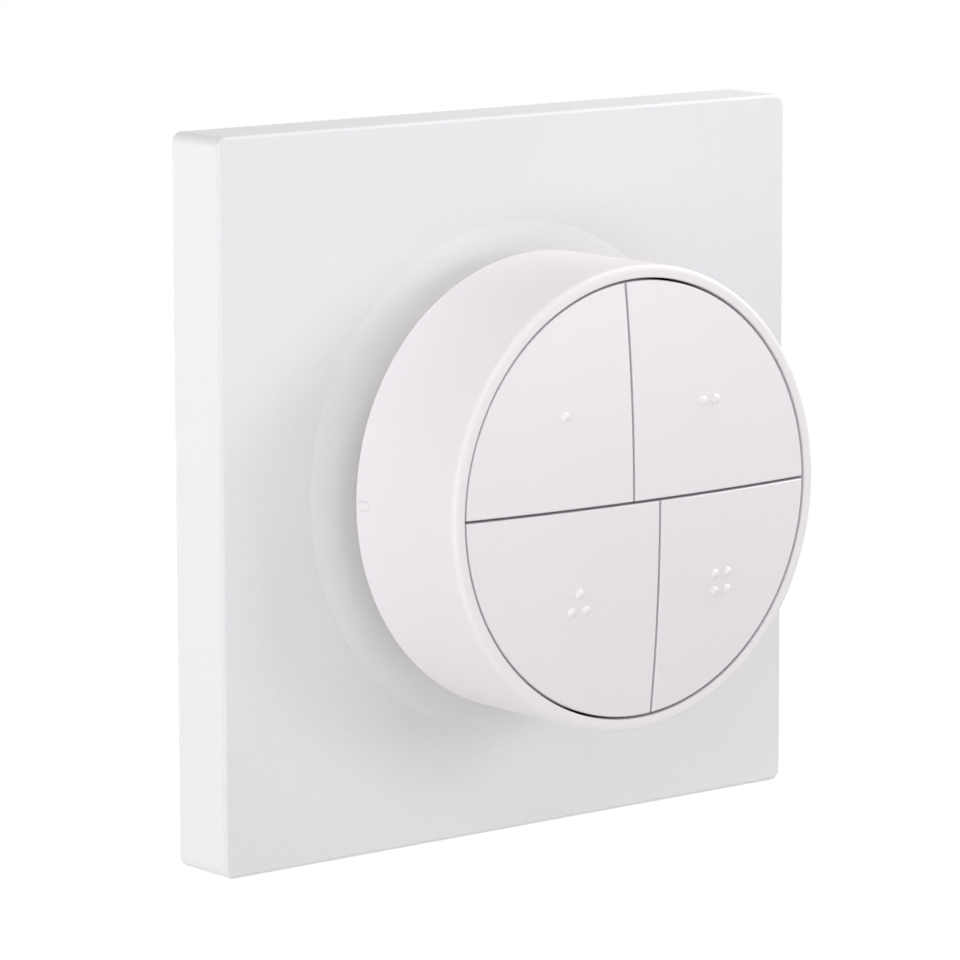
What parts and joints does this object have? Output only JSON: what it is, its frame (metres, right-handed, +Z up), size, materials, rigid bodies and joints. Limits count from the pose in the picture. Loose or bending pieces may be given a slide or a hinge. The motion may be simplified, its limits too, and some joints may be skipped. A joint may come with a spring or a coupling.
{
  "type": "smart dial switch",
  "caption": "Battery wall controller: round turning dial with domed press keys in its rim, held by magnets on a square wall plate.",
  "frame": {"origin": "centre of the wall plate's rear face, on the wall", "axes": "+Z up the wall, -Y from the wall towards the user, +X to the user's right"},
  "size_m": [0.08, 0.0311, 0.08],
  "materials": {
    "plate_white": "fine matte grain, faint cool white",
    "dial_white": "smooth satin white",
    "key_white": "smooth satin white",
    "inner_white": "plain moulded white",
    "gear_white": "natural acetal",
    "steel": "plated sheet",
    "nickel": "nickel plated",
    "pad_foam": "foam tape with a smooth skin",
    "board_green": "solder mask",
    "switch_black": "moulded black"
  },
  "bodies": {
    "wall": {"wall_plate": "plate_white", "mounting_bracket": "inner_white", "steel_disc": "steel", "adhesive_pads": "pad_foam"},
    "dial_unit": {"base_shell": "inner_white", "coin_cell": "steel", "battery_contact_plus": "nickel", "battery_contact_minus": "nickel", "dock_magnets": "nickel", "housing_screws": "steel", "key_frame": "inner_white", "main_board": "board_green", "radio_module": "steel", "board_parts": "switch_black", "switch_bodies": "switch_black", "encoder_body": "switch_black"},
    "battery_door": {"battery_cover": "inner_white"},
    "dial": {"dial_ring": "dial_white", "ring_gear": "gear_white"},
    "encoder_rotor": {"encoder_pinion": "gear_white", "encoder_shaft": "steel"},
    "key_1_body": {"key_1": "key_white", "switch_plunger_1": "gear_white"},
    "key_2_body": {"key_2": "key_white", "switch_plunger_2": "gear_white"},
    "key_3_body": {"key_3": "key_white", "switch_plunger_3": "gear_white"},
    "key_4_body": {"key_4": "key_white", "switch_plunger_4": "gear_white"}
  },
  "joints": [
    {"name": "unit_release", "type": "slide", "parent": "wall", "child": "dial_unit", "axis": [0, -1, 0], "range_m": [0, 0.04]},
    {"name": "dial_turn", "type": "hinge", "parent": "dial_unit", "child": "dial", "pos_m": [0, -0.0211, 0], "axis": [0, -1, 0], "continuous": true},
    {"name": "encoder_turn", "type": "hinge", "parent": "dial_unit", "child": "encoder_rotor", "pos_m": [0.01018, -0.0153, 0.01018], "axis": [0, -1, 0], "continuous": true},
    {"name": "battery_cover_turn", "type": "hinge", "parent": "dial_unit", "child": "battery_door", "pos_m": [0, -0.008, 0], "axis": [0, 1, 0], "range_deg": [0, 30]},
    {"name": "key_1_press", "type": "slide", "parent": "dial_unit", "child": "key_1_body", "axis": [0, 1, 0], "range_m": [0, 0.0005], "stiffness_N_per_m": 4000, "springref_m": -0.0001},
    {"name": "key_2_press", "type": "slide", "parent": "dial_unit", "child": "key_2_body", "axis": [0, 1, 0], "range_m": [0, 0.0005], "stiffness_N_per_m": 4000, "springref_m": -0.0001},
    {"name": "key_3_press", "type": "slide", "parent": "dial_unit", "child": "key_3_body", "axis": [0, 1, 0], "range_m": [0, 0.0005], "stiffness_N_per_m": 4000, "springref_m": -0.0001},
    {"name": "key_4_press", "type": "slide", "parent": "dial_unit", "child": "key_4_body", "axis": [0, 1, 0], "range_m": [0, 0.0005], "stiffness_N_per_m": 4000, "springref_m": -0.0001}
  ],
  "couplings": [
    {"joint": "encoder_turn", "follows": "dial_turn", "ratio": 4}
  ]
}
